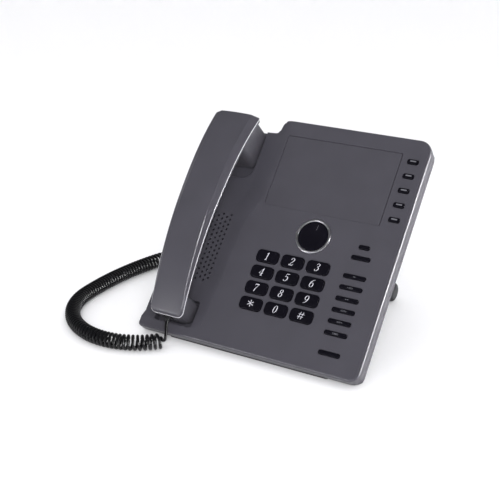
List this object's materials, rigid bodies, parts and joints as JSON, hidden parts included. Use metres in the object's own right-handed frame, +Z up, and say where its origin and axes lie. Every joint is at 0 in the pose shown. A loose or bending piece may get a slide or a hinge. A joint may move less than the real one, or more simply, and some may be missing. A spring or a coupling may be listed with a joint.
{
  "type": "desk ip phone",
  "caption": "Corded desk phone with a tilted face, flush display, dial pad, line and function keys, turning navigation dial, cradle handset and folding rear stand.",
  "frame": {"origin": "on the desk, under the middle of the rubber front foot strip, with the desk surface at z = 0", "axes": "+X to the user's right, +Y away from the user, +Z up from the desk"},
  "size_m": [0.3097, 0.2276, 0.1834],
  "materials": {
    "slate_plastic": "fine moulded texture, satin",
    "back_plastic": "moulded texture, matte",
    "window_plastic": "smooth, lightly glossy",
    "lcd_glass": "glossy",
    "circuit_board": "solder mask",
    "keypad_rubber": "silicone",
    "speaker_steel": "plated steel",
    "black_plastic": "satin",
    "socket_metal": "stamped shield",
    "screw_steel": "zinc plated",
    "foot_rubber": "matte",
    "cord_rubber": "smooth vinyl, semi-gloss",
    "clear_plug": "smooth",
    "ring_chrome": "satin silver",
    "key_black": "semi-gloss"
  },
  "bodies": {
    "base": {"front_housing": "slate_plastic", "rear_housing": "back_plastic", "display_window": "window_plastic", "lcd_panel": "lcd_glass", "main_board": "circuit_board", "keypad_mat": "keypad_rubber", "loudspeaker": "speaker_steel", "base_microphone": "black_plastic", "ethernet_jacks": "socket_metal", "power_jack": "black_plastic", "handset_port": "black_plastic", "housing_screws": "screw_steel", "front_foot": "foot_rubber", "stand_pins": "screw_steel", "coil_cord": "cord_rubber", "base_plug": "clear_plug", "nav_ring": "ring_chrome", "nav_encoder": "socket_metal"},
    "handset": {"handset_shell": "slate_plastic", "handset_cover": "back_plastic", "earpiece_speaker": "speaker_steel", "handset_microphone": "black_plastic", "handset_weight": "screw_steel", "handset_plug": "black_plastic", "handset_screws": "screw_steel"},
    "hook_button": {"hook_switch": "black_plastic"},
    "stand": {"stand_frame": "back_plastic", "stand_feet": "foot_rubber"},
    "nav_push": {"nav_push_sleeve": "clear_plug"},
    "nav_wheel": {"nav_dial": "key_black"},
    "key_1": {"key_1": "key_black"},
    "key_2": {"key_2": "key_black"},
    "key_3": {"key_3": "key_black"},
    "key_4": {"key_4": "key_black"},
    "key_5": {"key_5": "key_black"},
    "key_6": {"key_6": "key_black"},
    "key_7": {"key_7": "key_black"},
    "key_8": {"key_8": "key_black"},
    "key_9": {"key_9": "key_black"},
    "key_star": {"key_star": "key_black"},
    "key_0": {"key_0": "key_black"},
    "key_hash": {"key_hash": "key_black"},
    "line_key_1": {"line_key_1": "key_black"},
    "line_key_2": {"line_key_2": "key_black"},
    "line_key_3": {"line_key_3": "key_black"},
    "line_key_4": {"line_key_4": "key_black"},
    "line_key_5": {"line_key_5": "key_black"},
    "function_key_1": {"function_key_1": "key_black"},
    "function_key_2": {"function_key_2": "key_black"},
    "function_key_3": {"function_key_3": "key_black"},
    "function_key_4": {"function_key_4": "key_black"},
    "function_key_5": {"function_key_5": "key_black"},
    "function_key_6": {"function_key_6": "key_black"},
    "function_key_7": {"function_key_7": "key_black"},
    "function_key_8": {"function_key_8": "key_black"},
    "function_key_9": {"function_key_9": "key_black"}
  },
  "joints": [
    {"name": "handset_lift", "type": "slide", "parent": "base", "child": "handset", "axis": [0, -0.7193, 0.6947], "range_m": [0, 0.07]},
    {"name": "hook_rise", "type": "slide", "parent": "base", "child": "hook_button", "axis": [0, -0.7193, 0.6947], "range_m": [0, 0.004]},
    {"name": "stand_fold", "type": "hinge", "parent": "base", "child": "stand", "pos_m": [0, 0.132, 0.10005], "axis": [-1, 0, 0], "range_deg": [0, 62]},
    {"name": "nav_press", "type": "slide", "parent": "base", "child": "nav_push", "axis": [0, 0.7193, -0.6947], "range_m": [0, 0.0006], "stiffness_N_per_m": 900, "springref_m": -0.0006},
    {"name": "nav_turn", "type": "hinge", "parent": "nav_push", "child": "nav_wheel", "pos_m": [0.0286, 0.07135, 0.09481], "axis": [0, -0.7193, 0.6947], "continuous": true},
    {"name": "key_1_press", "type": "slide", "parent": "base", "child": "key_1", "axis": [0, 0.7193, -0.6947], "range_m": [0, 0.0012], "stiffness_N_per_m": 300, "springref_m": -0.0008},
    {"name": "key_2_press", "type": "slide", "parent": "base", "child": "key_2", "axis": [0, 0.7193, -0.6947], "range_m": [0, 0.0012], "stiffness_N_per_m": 300, "springref_m": -0.0008},
    {"name": "key_3_press", "type": "slide", "parent": "base", "child": "key_3", "axis": [0, 0.7193, -0.6947], "range_m": [0, 0.0012], "stiffness_N_per_m": 300, "springref_m": -0.0008},
    {"name": "key_4_press", "type": "slide", "parent": "base", "child": "key_4", "axis": [0, 0.7193, -0.6947], "range_m": [0, 0.0012], "stiffness_N_per_m": 300, "springref_m": -0.0008},
    {"name": "key_5_press", "type": "slide", "parent": "base", "child": "key_5", "axis": [0, 0.7193, -0.6947], "range_m": [0, 0.0012], "stiffness_N_per_m": 300, "springref_m": -0.0008},
    {"name": "key_6_press", "type": "slide", "parent": "base", "child": "key_6", "axis": [0, 0.7193, -0.6947], "range_m": [0, 0.0012], "stiffness_N_per_m": 300, "springref_m": -0.0008},
    {"name": "key_7_press", "type": "slide", "parent": "base", "child": "key_7", "axis": [0, 0.7193, -0.6947], "range_m": [0, 0.0012], "stiffness_N_per_m": 300, "springref_m": -0.0008},
    {"name": "key_8_press", "type": "slide", "parent": "base", "child": "key_8", "axis": [0, 0.7193, -0.6947], "range_m": [0, 0.0012], "stiffness_N_per_m": 300, "springref_m": -0.0008},
    {"name": "key_9_press", "type": "slide", "parent": "base", "child": "key_9", "axis": [0, 0.7193, -0.6947], "range_m": [0, 0.0012], "stiffness_N_per_m": 300, "springref_m": -0.0008},
    {"name": "key_star_press", "type": "slide", "parent": "base", "child": "key_star", "axis": [0, 0.7193, -0.6947], "range_m": [0, 0.0012], "stiffness_N_per_m": 300, "springref_m": -0.0008},
    {"name": "key_0_press", "type": "slide", "parent": "base", "child": "key_0", "axis": [0, 0.7193, -0.6947], "range_m": [0, 0.0012], "stiffness_N_per_m": 300, "springref_m": -0.0008},
    {"name": "key_hash_press", "type": "slide", "parent": "base", "child": "key_hash", "axis": [0, 0.7193, -0.6947], "range_m": [0, 0.0012], "stiffness_N_per_m": 300, "springref_m": -0.0008},
    {"name": "line_key_1_press", "type": "slide", "parent": "base", "child": "line_key_1", "axis": [0, 0.7193, -0.6947], "range_m": [0, 0.0009], "stiffness_N_per_m": 300, "springref_m": -0.0008},
    {"name": "line_key_2_press", "type": "slide", "parent": "base", "child": "line_key_2", "axis": [0, 0.7193, -0.6947], "range_m": [0, 0.0009], "stiffness_N_per_m": 300, "springref_m": -0.0008},
    {"name": "line_key_3_press", "type": "slide", "parent": "base", "child": "line_key_3", "axis": [0, 0.7193, -0.6947], "range_m": [0, 0.0009], "stiffness_N_per_m": 300, "springref_m": -0.0008},
    {"name": "line_key_4_press", "type": "slide", "parent": "base", "child": "line_key_4", "axis": [0, 0.7193, -0.6947], "range_m": [0, 0.0009], "stiffness_N_per_m": 300, "springref_m": -0.0008},
    {"name": "line_key_5_press", "type": "slide", "parent": "base", "child": "line_key_5", "axis": [0, 0.7193, -0.6947], "range_m": [0, 0.0009], "stiffness_N_per_m": 300, "springref_m": -0.0008},
    {"name": "function_key_1_press", "type": "slide", "parent": "base", "child": "function_key_1", "axis": [0, 0.7193, -0.6947], "range_m": [0, 0.0009], "stiffness_N_per_m": 300, "springref_m": -0.0008},
    {"name": "function_key_2_press", "type": "slide", "parent": "base", "child": "function_key_2", "axis": [0, 0.7193, -0.6947], "range_m": [0, 0.0009], "stiffness_N_per_m": 300, "springref_m": -0.0008},
    {"name": "function_key_3_press", "type": "slide", "parent": "base", "child": "function_key_3", "axis": [0, 0.7193, -0.6947], "range_m": [0, 0.0009], "stiffness_N_per_m": 300, "springref_m": -0.0008},
    {"name": "function_key_4_press", "type": "slide", "parent": "base", "child": "function_key_4", "axis": [0, 0.7193, -0.6947], "range_m": [0, 0.0009], "stiffness_N_per_m": 300, "springref_m": -0.0008},
    {"name": "function_key_5_press", "type": "slide", "parent": "base", "child": "function_key_5", "axis": [0, 0.7193, -0.6947], "range_m": [0, 0.0009], "stiffness_N_per_m": 300, "springref_m": -0.0008},
    {"name": "function_key_6_press", "type": "slide", "parent": "base", "child": "function_key_6", "axis": [0, 0.7193, -0.6947], "range_m": [0, 0.0009], "stiffness_N_per_m": 300, "springref_m": -0.0008},
    {"name": "function_key_7_press", "type": "slide", "parent": "base", "child": "function_key_7", "axis": [0, 0.7193, -0.6947], "range_m": [0, 0.0009], "stiffness_N_per_m": 300, "springref_m": -0.0008},
    {"name": "function_key_8_press", "type": "slide", "parent": "base", "child": "function_key_8", "axis": [0, 0.7193, -0.6947], "range_m": [0, 0.0009], "stiffness_N_per_m": 300, "springref_m": -0.0008},
    {"name": "function_key_9_press", "type": "slide", "parent": "base", "child": "function_key_9", "axis": [0, 0.7193, -0.6947], "range_m": [0, 0.0009], "stiffness_N_per_m": 300, "springref_m": -0.0008}
  ],
  "couplings": [
    {"joint": "hook_rise", "follows": "handset_lift", "ratio": 0.057}
  ]
}
